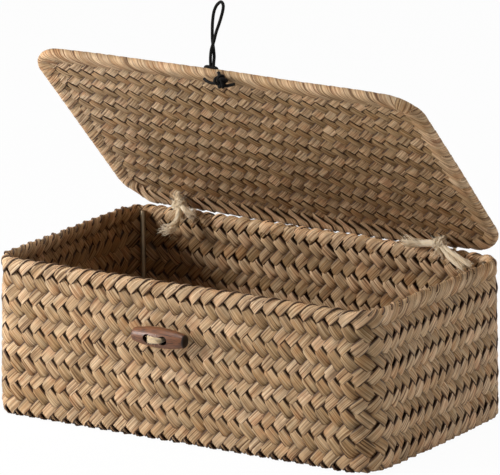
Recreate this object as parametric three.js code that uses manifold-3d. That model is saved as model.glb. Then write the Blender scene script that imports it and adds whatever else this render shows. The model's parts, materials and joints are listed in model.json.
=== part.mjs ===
// Woven lidded box: a twill-woven basket on a wire frame, with a woven lid tied on at the back,
// a wooden toggle sewn to the front wall and an elastic loop on the lid's front edge.
// Millimetres, +Z up, origin at the centre of the base's underside, front wall towards -Y.
// The lid stands open, as it is shown.
import * as THREE from 'three';
import { mergeVertices } from 'three/addons/utils/BufferGeometryUtils.js';
import Module from 'manifold-3d';

// Basket, over the outside of its rolled rim
const BOX_LENGTH = 280;
const BOX_DEPTH = 166;
const BOX_HEIGHT = 103;
const BOX_CORNER = 18; // plan radius of the rim's corners
const RIM_OUTSIDE = 12; // reach of the rim's fold down the outside
const RIM_INSIDE = 10; // reach of the rim's fold down the inside

// Woven sheet, the strands folded over its edges, and the frame wire
const WEAVE = 3.5;
const FOLD = 1.4;
const WIRE = 3.5;
const POST_TURN = THREE.MathUtils.degToRad(33); // from the long wall's end to the post, round the corner

// Lid
const LID_OVERHANG = 1; // past each end of the basket
const LID_SHIFT = -2; // the lid hangs this far off the basket's middle
const LID_LIP = 4; // past the basket's front
const LID_CORNER = 20;
const LID_BORDER = 12; // width of the folded border
const LID_OPEN = THREE.MathUtils.degToRad(45.5); // how far the lid stands open

// Hinge ties of jute twine
const TWINE = 2.4;
const TIE_FROM_LEFT = 41; // from the basket's left end
const TIE_FROM_RIGHT = 44; // from its right end
const TIE_KNOT = new THREE.Vector3(8, 5.6, 6.4); // width, depth and height
const TIE_KNOT_DROP = 4.8; // the knot's centre below the hinge line, on the closed lid
const LEFT_TAILS = [[-6, 1.5, -21]]; // where each tail ends, from the knot's centre, on the closed lid
const RIGHT_TAILS = [[-26.5, -0.5, -2], [31, -2.7, -13.9], [26, -1.5, -16.4]];
const TAIL_SAG = 1.5;

// Clasp: toggle on the front wall, loop on the lid
const CLASP_X = -8;
const TOGGLE_DROP = 33.7; // the toggle's axis below the rim's top
const TOGGLE_LENGTH = 38;
const TOGGLE_MIDDLE = 12.5; // diameters
const TOGGLE_END = 8;
const TOGGLE_CHAMFER = 0.6;
const TOGGLE_HOLE = 5.6;
const TOGGLE_HOLE_SPACING = 11.5;
const TOGGLE_STANDOFF = 3; // room behind the toggle for the loop's cord
const STITCH = 4.4; // a bundle of twine turns
const STITCH_FLAT = 2.2; // thickness of the bundle across the toggle's face
const STITCH_KNOT = 8;
const STITCH_KNOT_DEPTH = 4;
const CORD = 1.6;
const COLLAR = 2;
const COLLAR_LENGTH = 8.5;
const COLLAR_ANGLE = THREE.MathUtils.degToRad(56); // round the lid's edge, from straight ahead
const CORD_ENTRY_ANGLE = THREE.MathUtils.degToRad(28); // where the cord goes under the border's strands
const CORD_EXIT_ANGLE = THREE.MathUtils.degToRad(-15); // where it comes out
const LOOP_KNOT_ANGLE = THREE.MathUtils.degToRad(-60);
const LOOP_KNOT_SHIFT = 11; // the knot lies this far to the right of the loop
const LOOP_KNOT = new THREE.Vector3(8, 4.2, 6.6); // width, thickness and height
const LOOP_TAILS = [[-13, -1.2, 0.6], [9.5, -0.6, -0.6]]; // tail ends from the knot: along, out, round

// Route of the loop from foot to foot, from the collar's centre: right, back and up
const LOOP_ROUTE = [
  [-1.4, 0, 1.4], [-1.2, -0.3, 3.4], [-0.4, -0.8, 6.2], [1.3, -1.15, 10.8], [3, -0.9, 16],
  [4.7, -0.8, 22], [7.2, -1.1, 28], [9.4, -1.4, 34], [10.2, -1.2, 38], [9.6, -0.6, 40.3],
  [7.9, 0, 41.3], [5.8, 0.7, 40.2], [3.6, 1.2, 38], [1.7, 1.4, 34], [0.9, 1.1, 28],
  [0.8, 0.8, 22], [0.8, 0.9, 16], [1.3, 1.15, 10.8], [1.9, 0.7, 6.2], [1.6, 0.2, 3.4], [1.4, 0, 1.4],
];

// Clearances
const FIT = 0.3; // between pieces that touch
const RUN = 0.5; // between pieces that move past each other
const HINGE_CLEAR = 0.4; // from the hinge line to the rim and to the lid

// Facets
const CORNER_STEPS = 6;
const ROUND_SIDES = 10;
const ROLL_STEPS = 8;
const CORD_SIDES = 8;
const LOOP_STEPS = 44;
const TAIL_STEPS = 6;
const MERGE = 1e-4;

// Sizes that follow from those above
const CHANNEL = Math.max(WIRE, WEAVE) + 2 * FIT; // inside a folded edge
const ROLL = CHANNEL + 2 * FOLD; // over a folded edge
const WALL_INSET = (ROLL - WEAVE) / 2; // from the rim's outside to the wall's outside
const WALL_TOP = BOX_HEIGHT - ROLL / 2 - WIRE / 2 - FIT;
const BASE_BEND = WIRE / 2 + FIT; // the weave bends round the base wire
const FRAME_INSET = WALL_INSET + WEAVE + BASE_BEND; // from the rim's outside to the posts' axes
const BASE_WIRE_Z = WEAVE + BASE_BEND;
const RIM_WIRE_Z = BOX_HEIGHT - ROLL / 2;
const POST_BOTTOM = BASE_WIRE_Z + WIRE / 2 + FIT;
const POST_TOP = RIM_WIRE_Z + WIRE / 2;
const LID_LENGTH = BOX_LENGTH + 2 * LID_OVERHANG;
const LID_DEPTH = BOX_DEPTH + LID_LIP;
const HINGE_Y = BOX_DEPTH / 2 + HINGE_CLEAR;
const HINGE_Z = BOX_HEIGHT + HINGE_CLEAR / 2;
const LID_BACK = -HINGE_CLEAR; // the lid's back edge, from the hinge line
const LID_UNDER = HINGE_CLEAR / 2; // the lid's underside, above the hinge line
const HINGE_TO_WIRE = Math.hypot(ROLL / 2 + HINGE_CLEAR, ROLL / 2 + HINGE_CLEAR / 2);
const TIE_RADIUS = HINGE_TO_WIRE + WIRE / 2 + RUN + TWINE / 2;
const TIES = {
  left: { x: -BOX_LENGTH / 2 + TIE_FROM_LEFT, tails: LEFT_TAILS },
  right: { x: BOX_LENGTH / 2 - TIE_FROM_RIGHT, tails: RIGHT_TAILS },
};
const FRONT_WALL_Y = -BOX_DEPTH / 2 + WALL_INSET;
const TOGGLE_Y = FRONT_WALL_Y - TOGGLE_STANDOFF - TOGGLE_MIDDLE / 2;
const TOGGLE_Z = BOX_HEIGHT - TOGGLE_DROP;

const seagrass = () => new THREE.MeshStandardMaterial({ color: 0x9c7d5c, roughness: 0.75, metalness: 0 });
const steel = () => new THREE.MeshStandardMaterial({ color: 0x7d7766, roughness: 0.5, metalness: 0.8 });
const jute = () => new THREE.MeshStandardMaterial({ color: 0xd6bd94, roughness: 0.9, metalness: 0 });
const wood = () => new THREE.MeshStandardMaterial({ color: 0x7a4f3c, roughness: 0.5, metalness: 0 });
const elastic = () => new THREE.MeshStandardMaterial({ color: 0x1b1b1a, roughness: 0.7, metalness: 0 });

const wasm = await Module();
wasm.setup();

function solidOf(geometry) {
  const plain = geometry.clone();
  plain.deleteAttribute('normal');
  plain.deleteAttribute('uv');
  const merged = mergeVertices(plain, MERGE);
  const vertProperties = Float32Array.from(merged.attributes.position.array);
  const triVerts = Uint32Array.from(merged.index.array);
  return new wasm.Manifold(new wasm.Mesh({ numProp: 3, vertProperties, triVerts }));
}

function geometryOf(solid) {
  const { vertProperties, triVerts } = solid.getMesh();
  const geometry = new THREE.BufferGeometry();
  geometry.setAttribute('position', new THREE.BufferAttribute(vertProperties, 3));
  geometry.setIndex(new THREE.BufferAttribute(triVerts, 1));
  geometry.computeVertexNormals();
  return geometry;
}

function joined(...geometries) {
  return geometryOf(geometries.map(solidOf).reduce((all, next) => all.add(next)));
}

function cut(geometry, ...tools) {
  return geometryOf(tools.map(solidOf).reduce((left, tool) => left.subtract(tool), solidOf(geometry)));
}

function piece(name, geometry, material) {
  const mesh = new THREE.Mesh(geometry, material);
  mesh.name = name;
  return mesh;
}

// Stations round a rounded rectangle. Each holds its corner's centre and the way out from it.
function stationsRound(length, depth, radius) {
  const stations = [];
  for (let corner = 0; corner < 4; corner += 1) {
    const x = (corner === 0 || corner === 3 ? 1 : -1) * (length / 2 - radius);
    const y = (corner < 2 ? 1 : -1) * (depth / 2 - radius);
    for (let step = 0; step <= CORNER_STEPS; step += 1) {
      const angle = (corner + step / CORNER_STEPS) * Math.PI / 2;
      stations.push({ x, y, radius, outX: Math.cos(angle), outY: Math.sin(angle) });
    }
  }
  return stations;
}

// Sweeps a section of [inset, height] points round the stations, anticlockwise with the outside
// to the right. A closed section makes a ring. An open one starts and ends in a flat face.
function swept(stations, section, closed) {
  const rows = section.length;
  const positions = [];
  for (const { x, y, radius, outX, outY } of stations) {
    for (const [inset, height] of section) {
      positions.push(x + (radius - inset) * outX, y + (radius - inset) * outY, height);
    }
  }
  const indices = [];
  const first = stations.length * rows;
  const last = first + 1;
  const mean = (axis) => stations.reduce((sum, station) => sum + station[axis], 0) / stations.length;
  if (!closed) {
    positions.push(mean('x'), mean('y'), section[0][1], mean('x'), mean('y'), section[rows - 1][1]);
  }
  for (let station = 0; station < stations.length; station += 1) {
    const here = station * rows;
    const next = ((station + 1) % stations.length) * rows;
    for (let row = 0; row < (closed ? rows : rows - 1); row += 1) {
      const above = (row + 1) % rows;
      indices.push(here + row, next + row, next + above, here + row, next + above, here + above);
    }
    if (!closed) {
      indices.push(first, next, here, last, here + rows - 1, next + rows - 1);
    }
  }
  const geometry = new THREE.BufferGeometry();
  geometry.setAttribute('position', new THREE.Float32BufferAttribute(positions, 3));
  geometry.setIndex(indices);
  geometry.computeVertexNormals();
  return geometry;
}

function arc(centreX, centreY, radius, from, to, steps) {
  const points = [];
  for (let step = 0; step <= steps; step += 1) {
    const angle = from + (to - from) * step / steps;
    points.push([centreX + radius * Math.cos(angle), centreY + radius * Math.sin(angle)]);
  }
  return points;
}

// Section of strands folded over an edge wire, as [across, along from the edge] points.
// The first leg lies at across = 0 and the second at across = ROLL.
function foldSection(firstLeg, secondLeg) {
  const middle = ROLL / 2;
  const outer = arc(middle, middle, middle, Math.PI, 2 * Math.PI, ROLL_STEPS);
  const inner = arc(middle, middle, CHANNEL / 2, 2 * Math.PI, Math.PI, ROLL_STEPS);
  return [[0, firstLeg], ...outer, [ROLL, secondLeg], [ROLL - FOLD, secondLeg], ...inner, [FOLD, firstLeg]];
}

function wireRing(stations, inset, height) {
  const section = arc(inset, height, WIRE / 2, 0, -2 * Math.PI, ROUND_SIDES).slice(0, -1);
  return swept(stations, section, true);
}

function rod(diameter, from, to) {
  const line = to.clone().sub(from);
  const geometry = new THREE.CylinderGeometry(diameter / 2, diameter / 2, line.length(), 2 * CORD_SIDES);
  const cylinderAxis = new THREE.Vector3(0, 1, 0);
  geometry.applyQuaternion(new THREE.Quaternion().setFromUnitVectors(cylinderAxis, line.normalize()));
  geometry.translate(...from.clone().add(to).multiplyScalar(0.5));
  return geometry;
}

function tube(diameter, points, steps) {
  const ring = arc(0, 0, diameter / 2, 0, 2 * Math.PI, CORD_SIDES).slice(0, -1);
  const shape = new THREE.Shape(ring.map(([x, y]) => new THREE.Vector2(x, y)));
  const extrudePath = new THREE.CatmullRomCurve3(points);
  return new THREE.ExtrudeGeometry(shape, { steps, bevelEnabled: false, extrudePath });
}

function ellipsoid(size) {
  const geometry = new THREE.SphereGeometry(0.5, 2 * CORD_SIDES, CORD_SIDES);
  geometry.scale(size.x, size.y, size.z);
  return geometry;
}

// Ring of twine round the hinge line, through the rim and the lid's border
function tieRing(x, diameter) {
  const geometry = new THREE.TorusGeometry(TIE_RADIUS, diameter / 2, CORD_SIDES, 3 * ROUND_SIDES);
  geometry.rotateY(Math.PI / 2);
  geometry.translate(x, 0, 0);
  return geometry;
}

// The room that a tie's ring needs, seen from the hinge line or from the origin
function tiePassages(y, z) {
  return Object.values(TIES).map(({ x }) => tieRing(x, TWINE + 2 * RUN).translate(0, y, z));
}

function postPlaces() {
  const reach = BOX_CORNER - FRAME_INSET;
  const x = BOX_LENGTH / 2 - BOX_CORNER + reach * Math.sin(POST_TURN);
  const y = BOX_DEPTH / 2 - BOX_CORNER + reach * Math.cos(POST_TURN);
  return { front_left: [-x, -y], front_right: [x, -y], back_left: [-x, y], back_right: [x, y] };
}

function makeBasket() {
  const basket = new THREE.Group();
  const outline = stationsRound(BOX_LENGTH, BOX_DEPTH, BOX_CORNER);
  const shell = [
    ...arc(WALL_INSET + WEAVE + BASE_BEND, BASE_WIRE_Z, BASE_WIRE_Z, -Math.PI / 2, -Math.PI, CORNER_STEPS),
    [WALL_INSET, WALL_TOP],
    [WALL_INSET + WEAVE, WALL_TOP],
    ...arc(WALL_INSET + WEAVE + BASE_BEND, BASE_WIRE_Z, BASE_BEND, -Math.PI, -Math.PI / 2, CORNER_STEPS),
  ];
  const stitchHole = rod(
    STITCH + 2 * RUN,
    new THREE.Vector3(CLASP_X, FRONT_WALL_Y - WEAVE, TOGGLE_Z),
    new THREE.Vector3(CLASP_X, FRONT_WALL_Y + 2 * WEAVE, TOGGLE_Z),
  );
  const passages = tiePassages(HINGE_Y, HINGE_Z);
  basket.add(piece('woven_body', cut(swept(outline, shell, false), stitchHole, ...passages), seagrass()));

  const fold = foldSection(RIM_OUTSIDE, RIM_INSIDE).map(([across, along]) => [across, BOX_HEIGHT - along]);
  const notches = [];
  for (const [name, [x, y]] of Object.entries(postPlaces())) {
    const foot = new THREE.Vector3(x, y, POST_BOTTOM);
    const head = new THREE.Vector3(x, y, POST_TOP);
    basket.add(piece(`post_${name}`, rod(WIRE, foot, head), steel()));
    notches.push(rod(WIRE + 2 * FIT, foot, head.clone().setZ(POST_TOP + FIT)));
  }
  basket.add(piece('rim_fold', cut(swept(outline, fold, true), ...notches, ...passages), seagrass()));
  basket.add(piece('rim_wire', wireRing(outline, ROLL / 2, RIM_WIRE_Z), steel()));
  basket.add(piece('base_wire', wireRing(outline, FRAME_INSET, BASE_WIRE_Z), steel()));
  return basket;
}

// The knot is on the lid's underside, and goes down inside the rim when the lid closes.
function makeTie(side) {
  const { x, tails } = TIES[side];
  const knotY = -HINGE_CLEAR - ROLL - FIT - TIE_KNOT.y / 2;
  const centre = new THREE.Vector3(x, knotY, -TIE_KNOT_DROP);
  const parts = [tieRing(x, TWINE), ellipsoid(TIE_KNOT).translate(...centre)];
  for (const end of tails) {
    const tip = new THREE.Vector3(...end);
    const bend = tip.clone().multiplyScalar(0.5).setZ(tip.z / 2 - TAIL_SAG);
    const points = [new THREE.Vector3(), bend, tip].map((point) => point.add(centre));
    parts.push(tube(TWINE, points, TAIL_STEPS));
  }
  return piece(`hinge_tie_${side}`, joined(...parts), jute());
}

// The toggle turns about its own centre, so it is made round the origin with its axis along X.
function makeToggle() {
  const toggle = new THREE.Group();
  toggle.position.set(CLASP_X, TOGGLE_Y, TOGGLE_Z);
  const half = TOGGLE_LENGTH / 2;
  const radiusAt = (along) => (TOGGLE_MIDDLE - (TOGGLE_MIDDLE - TOGGLE_END) * (along / half) ** 2) / 2;
  const profile = [new THREE.Vector2(0, -half), new THREE.Vector2(TOGGLE_END / 2 - TOGGLE_CHAMFER, -half)];
  const flank = half - TOGGLE_CHAMFER;
  for (let step = 0; step <= ROUND_SIDES; step += 1) {
    const along = -flank + 2 * flank * step / ROUND_SIDES;
    profile.push(new THREE.Vector2(radiusAt(along), along));
  }
  profile.push(new THREE.Vector2(TOGGLE_END / 2 - TOGGLE_CHAMFER, half), new THREE.Vector2(0, half));
  const barrel = new THREE.LatheGeometry(profile, 2 * ROUND_SIDES).rotateZ(-Math.PI / 2);
  const holes = [-1, 1].map((side) => {
    const x = side * TOGGLE_HOLE_SPACING / 2;
    return rod(TOGGLE_HOLE, new THREE.Vector3(x, -TOGGLE_MIDDLE, 0), new THREE.Vector3(x, TOGGLE_MIDDLE, 0));
  });
  toggle.add(piece('toggle_button', cut(barrel, ...holes), wood()));

  const frontY = -TOGGLE_MIDDLE / 2 - FIT - STITCH_FLAT / 2;
  const backY = TOGGLE_MIDDLE / 2 + TOGGLE_STANDOFF / 2;
  const wallInside = TOGGLE_MIDDLE / 2 + TOGGLE_STANDOFF + WEAVE;
  const knotY = wallInside + FIT + STITCH_KNOT_DEPTH / 2;
  const strap = (thickness) => {
    const bar = new THREE.CapsuleGeometry(STITCH / 2, TOGGLE_HOLE_SPACING, CORD_SIDES / 2, 2 * CORD_SIDES);
    return bar.rotateZ(Math.PI / 2).scale(1, thickness / STITCH, 1);
  };
  const legs = [-1, 1].map((side) => {
    const x = side * TOGGLE_HOLE_SPACING / 2;
    return rod(STITCH, new THREE.Vector3(x, frontY, 0), new THREE.Vector3(x, backY, 0));
  });
  const shank = rod(STITCH, new THREE.Vector3(0, backY, 0), new THREE.Vector3(0, knotY, 0));
  const knotSize = new THREE.Vector3(STITCH_KNOT, STITCH_KNOT_DEPTH, STITCH_KNOT);
  const knot = ellipsoid(knotSize).translate(0, knotY, 0);
  const front = strap(STITCH_FLAT).translate(0, frontY, 0);
  const back = strap(TOGGLE_STANDOFF - 2 * FIT).translate(0, backY, 0);
  toggle.add(piece('toggle_stitch', joined(front, back, ...legs, shank, knot), jute()));
  return toggle;
}

// A place round the roll of the lid's front edge: x, angle up from ahead, distance from the roll's axis
function onLidEdge(x, angle, distance) {
  const y = LID_BACK - LID_DEPTH + ROLL / 2 - distance * Math.cos(angle);
  return new THREE.Vector3(x, y, LID_UNDER + ROLL / 2 + distance * Math.sin(angle));
}

// The cord's stretch from under the border's strands to its knot, close outside the lid's wire
function hiddenCord(diameter) {
  const points = [];
  const reach = WIRE / 2 + FIT + CORD / 2;
  for (let step = 0; step <= TAIL_STEPS; step += 1) {
    const share = step / TAIL_STEPS;
    const angle = CORD_ENTRY_ANGLE + (LOOP_KNOT_ANGLE - CORD_ENTRY_ANGLE) * share;
    const pastExit = Math.max(0, (CORD_EXIT_ANGLE - angle) / (CORD_EXIT_ANGLE - LOOP_KNOT_ANGLE));
    points.push(onLidEdge(CLASP_X + LOOP_KNOT_SHIFT * share, angle, reach + FOLD * pastExit));
  }
  return tube(diameter, points, 2 * TAIL_STEPS);
}

// The lid is made closed, with the hinge line at its origin, and turned open as one group.
function makeLid() {
  const lid = new THREE.Group();
  lid.position.set(0, HINGE_Y, HINGE_Z);
  lid.rotation.x = -LID_OPEN;
  const centreY = LID_BACK - LID_DEPTH / 2;
  const outline = stationsRound(LID_LENGTH, LID_DEPTH, LID_CORNER);
  for (const station of outline) {
    station.x += LID_SHIFT;
    station.y += centreY;
  }
  const passages = tiePassages(0, 0);
  const middle = LID_UNDER + ROLL / 2;
  const edge = ROLL / 2 + WIRE / 2 + FIT;
  const slab = [[edge, middle - WEAVE / 2], [edge, middle + WEAVE / 2]];
  lid.add(piece('lid_panel', cut(swept(outline, slab, false), ...passages), seagrass()));
  const fold = foldSection(LID_BORDER, LID_BORDER).map(([across, along]) => [along, LID_UNDER + across]);
  const groove = hiddenCord(CORD + 2 * FIT);
  lid.add(piece('lid_border', cut(swept(outline, fold, true), ...passages, groove), seagrass()));
  lid.add(piece('lid_wire', wireRing(outline, ROLL / 2, middle), steel()));
  lid.add(makeTie('left'), makeTie('right'));

  const pivot = onLidEdge(CLASP_X, COLLAR_ANGLE, ROLL / 2 + FIT + COLLAR / 2);
  const collar = new THREE.CapsuleGeometry(COLLAR / 2, COLLAR_LENGTH - COLLAR, CORD_SIDES / 2, CORD_SIDES);
  collar.rotateZ(Math.PI / 2);
  const collarMesh = piece('loop_collar', collar, elastic());
  collarMesh.position.copy(pivot);
  lid.add(collarMesh);

  const knotX = CLASP_X + LOOP_KNOT_SHIFT;
  const knotReach = ROLL / 2 + FIT + LOOP_KNOT.y / 2;
  const knot = ellipsoid(LOOP_KNOT).rotateX(-LOOP_KNOT_ANGLE);
  knot.translate(...onLidEdge(knotX, LOOP_KNOT_ANGLE, knotReach));
  const tails = LOOP_TAILS.map(([along, out, round]) => {
    const places = [0, 0.5, 1].map((share) => onLidEdge(
      knotX + along * share,
      LOOP_KNOT_ANGLE + round * share / knotReach,
      knotReach + out * share,
    ));
    return tube(CORD, places, TAIL_STEPS);
  });
  lid.add(piece('loop_knot', joined(knot, hiddenCord(CORD), ...tails), elastic()));

  const upright = new THREE.Group();
  upright.position.copy(pivot);
  upright.rotation.x = LID_OPEN;
  const route = LOOP_ROUTE.map((point) => new THREE.Vector3(...point));
  upright.add(piece('elastic_loop', tube(CORD, route, LOOP_STEPS), elastic()));
  lid.add(upright);
  return lid;
}

const box = new THREE.Group();
box.add(makeBasket(), makeToggle(), makeLid());

export default box;
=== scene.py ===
"""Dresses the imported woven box: every strand of the twill, the folded rim and border, the jute ties,
the wooden toggle and the elastic loop. Sizes and routes are in millimetres, and meshes in metres.
"""

import json
import math
import random

import bmesh
import bpy
from mathutils import Matrix, Vector, noise


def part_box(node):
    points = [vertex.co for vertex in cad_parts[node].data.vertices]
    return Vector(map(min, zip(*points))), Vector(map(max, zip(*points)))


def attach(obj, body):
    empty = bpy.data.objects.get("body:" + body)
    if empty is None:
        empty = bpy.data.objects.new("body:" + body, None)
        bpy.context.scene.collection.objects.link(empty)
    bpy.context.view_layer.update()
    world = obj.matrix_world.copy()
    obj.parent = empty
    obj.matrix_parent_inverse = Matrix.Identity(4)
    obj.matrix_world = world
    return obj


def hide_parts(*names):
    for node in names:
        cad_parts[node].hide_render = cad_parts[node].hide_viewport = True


bl_info = {
    "name": "Woven lidded box",
    "version": (1, 0, 0),
    "blender": (4, 5, 0),
    "location": "3D View > Sidebar > Woven Box",
    "description": "Weaves the box strand by strand and dresses its ties, toggle and loop",
    "category": "Object",
}

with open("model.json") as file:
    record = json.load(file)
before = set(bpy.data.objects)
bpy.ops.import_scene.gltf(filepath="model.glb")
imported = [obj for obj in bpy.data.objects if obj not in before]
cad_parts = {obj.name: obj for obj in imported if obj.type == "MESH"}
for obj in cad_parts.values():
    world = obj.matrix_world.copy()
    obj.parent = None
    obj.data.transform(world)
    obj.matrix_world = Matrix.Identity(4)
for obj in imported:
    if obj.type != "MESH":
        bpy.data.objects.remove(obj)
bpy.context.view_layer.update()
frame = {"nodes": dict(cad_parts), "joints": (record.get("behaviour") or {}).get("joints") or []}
JOINTS = {joint["name"]: joint for joint in frame["joints"]}
MM = 0.001

# Basket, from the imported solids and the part's own sizes
RIM_LOW, RIM_HIGH = (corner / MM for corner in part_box("rim_fold"))
BOX_LENGTH = RIM_HIGH.x - RIM_LOW.x
BOX_DEPTH = RIM_HIGH.y - RIM_LOW.y
BOX_HEIGHT = RIM_HIGH.z
BOX_CORNER = 18
WIRE = 3.5
ROLL = 6.9  # over a folded edge
MIDDLE = ROLL / 2  # from the outside to the middle of the rim
SWELL = 1.5  # the wall below the rim stands out by this much
SWELL_STARTS, SWELL_WHOLE = 10, 18  # below the top
BELLY = 0.9  # its lower half stands out by this much more
END_BELLY = 1.8  # and the middle of its ends by this much at the foot
END_HALF = 70  # half of the bellied part of an end
BACK_RELIEF = 0.5  # share by which the back's floats stand out more on the inside
RIM_DRAWN = 0.3  # the back rim is drawn up this much between the ties
BASE_Z = 1.75  # middle of the base's weave
BEND = 1.7  # the weave's bend at the foot of the wall
BEND_Z = BASE_Z + BEND
ROLL_Z = BOX_HEIGHT - MIDDLE
FOLD_TURN = 2.6  # from the edge wire's axis to the middle of a strand folded over it
FOLD_DOWN = 5.5  # the folded strands run on down the inside by this much
FOLD_LEAN = 0.22  # and each lies over its neighbour by this much at its edges
FOOT_UNDER = 2.5  # strands run on under the base by this much
FRAME_INSET = 7.25
FRAME_Z = 5.55
POST_TURN = math.radians(33)
POST_SUNK = 2  # a post's wire ends this far below its solid's top
RING_STEPS = 160

# Lid, seen closed with its hinge line at the origin
HINGE = Vector(JOINTS["lid_hinge"]["pos_m"]) / MM
LID_OPEN = -math.radians(JOINTS["lid_hinge"]["range_deg"][0])
LID_LEFT, LID_RIGHT = (corner.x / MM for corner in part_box("lid_border"))
LID_LENGTH = LID_RIGHT - LID_LEFT
LID_SHIFT = (LID_LEFT + LID_RIGHT) / 2
LID_DEPTH = 170
LID_CORNER = 22
LID_BORDER = 12
LID_BACK = 0.4
LID_MIDDLE = 0.2 + MIDDLE
LID_SAG = 0.2  # at the middle of the back edge
PANEL_INSET = 5.5  # the panel's strands end this far inside the edge
CORNER_TURN = 30  # stretch over which the border's strands turn from one lean to the other
LIP = 3.4  # the border bulges out this far at the back
LIP_TURN, LIP_SPREAD = 0.8, 0.45  # and where round its edge, in radians
UNDERSIDE_PRESSED = 0.4

# Ties and clasp
TIE_RADIUS = 8.76
TIE_TWINE, WRAP_TWINE = 2.2, 1.8
TIE_KNOT = (-10.4, -4.8)
TIE_KNOT_SIZE = (12, 7, 10)
TIES = {  # along the hinge line, then each tail: thickness, fray, and points from the knot
    "left": (-99, [
        (4, 1.2, (3.2, 0.5, -9.6), (1.8, 1, -17), (-6, 1.5, -21)),
        (5, 1.2, (-1.2, -0.8, 4), (-2.5, -1.6, 8)),
        (4, 1.2, (7, 0.2, -3.2), (15, 0.8, -6))]),
    "right": (96, [
        (4.6, 0.8, (-13, 0.3, -1.6), (-26.5, -0.5, -2)),
        (3, 0.3, (15.5, -0.8, -7.4), (31, -2.7, -13.9)),
        (3, 0.3, (12, -0.3, -9.4), (26, -1.5, -16.4)),
        (3, 1.2, (0.5, 0.8, -3.5), (1.5, 2, -7))]),
}
TOGGLE = Vector(JOINTS["toggle_swivel"]["pos_m"]) / MM
TOGGLE_LENGTH = 38
TOGGLE_MIDDLE = 13
TOGGLE_END = 8
TOGGLE_HOLE = 5.6
TOGGLE_HOLES_APART = 11.5
STITCH_TWINE = 1.7
LOOP_PIVOT = Vector(JOINTS["loop_swing"]["pos_m"]) / MM
CORD = 2
COLLAR, COLLAR_LENGTH = 2.3, 8.5
LOOP_KNOT_X = TOGGLE.x + 11
LOOP_KNOT_ANGLE = math.radians(-60)
LOOP_KNOT_OUT = 2.4  # from the lid's roll to the knot's middle
LOOP_TAILS = [(-12.5, -0.6, -1.8), (10, -0.2, -2.4)]
LOOP_ROUTE = [
    (0, 0, -0.8), (0.1, -0.4, 3.4), (0.5, -0.9, 6.2), (1.3, -1.15, 10.8), (3, -0.9, 16),
    (4.7, -0.8, 22), (7.2, -1.1, 28), (9.4, -1.4, 34), (10.2, -1.2, 38), (9.6, -0.6, 40.3),
    (7.9, 0, 41.3), (5.8, 0.7, 40.2), (3.6, 1.2, 38), (1.7, 1.4, 34), (0.9, 1.1, 28),
    (0.8, 0.8, 22), (0.8, 0.9, 16), (1.4, 1.15, 10.8), (2, 0.9, 6.2), (2.1, 0.4, 3.4), (2, 0, -0.8),
]

# Stage, in metres and watts
LENS = 443.5
CAMERA_RIGHT = (0.8456, 0.5338, -0.0051)
CAMERA_UP = (-0.1282, 0.2123, 0.9688)
CAMERA_BACK = (0.5182, -0.8185, 0.248)
CAMERA_PLACE = (2.0007, -3.1585, 1.0713)
FLOOR_RADIUS = 6
WHITE, PAPER = (1, 1, 1, 1), (0.85, 0.85, 0.85, 1)
PAPER_GLOW = 0.965  # share of the paper that the camera sees as plain white
ROOM_LIGHT = 0.05
LAMPS_AIM = Vector((0, 0, 0.08))
LAMPS = (  # name, place, width and power
    ("key_softbox", (-1.9, -1.7, 1.16), 0.7, 57), ("low_softbox", (-0.42, -0.25, 0.16), 0.25, 0.9),
    ("end_softbox", (0.9, 0.3, 0.06), 0.4, 3), ("top_softbox", (-0.1, -0.3, 1.6), 1.0, 13))

STRAND_STEP = 1.8  # length of a strand's faces


def both_faces(*points):
    """A whole section from the points of its upper half, which the lower half repeats the other way round."""
    return [(side * across, side * up) for side in (1, -1) for across, up in points]


# A flattened strand's section: across, in half widths, and up, in half thicknesses
STRAND_SECTION = both_faces((1, 0), (0.88, 0.76), (0.75, 0.98), (-0.75, 0.98), (-0.88, 0.76))

# The same, for a strand that is folded on the slant
FOLDED_SECTION = both_faces(
    (1, 0), (0.88, 0.76), (0.75, 0.98), (0.45, 1), (0.15, 1), (-0.15, 1), (-0.45, 1), (-0.75, 0.98),
    (-0.88, 0.76))
FOLDED_STEP = 1.1

# How a strand strays, tilts, lifts and widens: how much, over what distance, and in which layer of noise
UNEVEN = ((0.7, 30, 0), (0.7, 9, 7), (0.25, 13, 13), (0.14, 16, 21))

# Tones of strands laid with the leaf's pale or dark side out
PALE_SIDE, DARK_SIDE = (0.45, 1), (0, 0.6)

FLATNESS = 0.2  # how the floats lie: near 0 they are level with steep steps, and larger is a plain wave
TWIST, TWIST_SWING = 0.12, 0.3  # a strand's steady lean, and its swing from over to under

ROOT_HALF = math.sqrt(0.5)


def linear(hex_colour):
    """An sRGB hex value as the linear colour that the shaders take."""
    channels = [int(hex_colour[place:place + 2], 16) / 255 for place in (0, 2, 4)]
    return [c / 12.92 if c <= 0.04045 else ((c + 0.055) / 1.055) ** 2.4 for c in channels]


class WeaveSettings(bpy.types.PropertyGroup):
    """Sizes of the woven strands."""

    strands_round: bpy.props.IntProperty(
        name="Strands round the wall", description="Strands of each lean round the basket",
        default=93, min=24)
    strand_width: bpy.props.FloatProperty(
        name="Strand width", description="Usual width of a flattened strand", default=0.0083, unit="LENGTH")
    strand_thickness: bpy.props.FloatProperty(
        name="Strand thickness", description="Thickness along a strand's middle",
        default=0.0011, unit="LENGTH")
    strand_lift: bpy.props.FloatProperty(
        name="Lift", description="From the weave's middle to a strand that passes over",
        default=0.0012, unit="LENGTH")
    top_row: bpy.props.FloatProperty(
        name="Top row", description="Height of the row that folds over the rim", default=0.098, unit="LENGTH")
    lid_row: bpy.props.FloatProperty(
        name="Lid's front row", description="From the hinge line to the lid's first row",
        default=0.155, unit="LENGTH")


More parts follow.
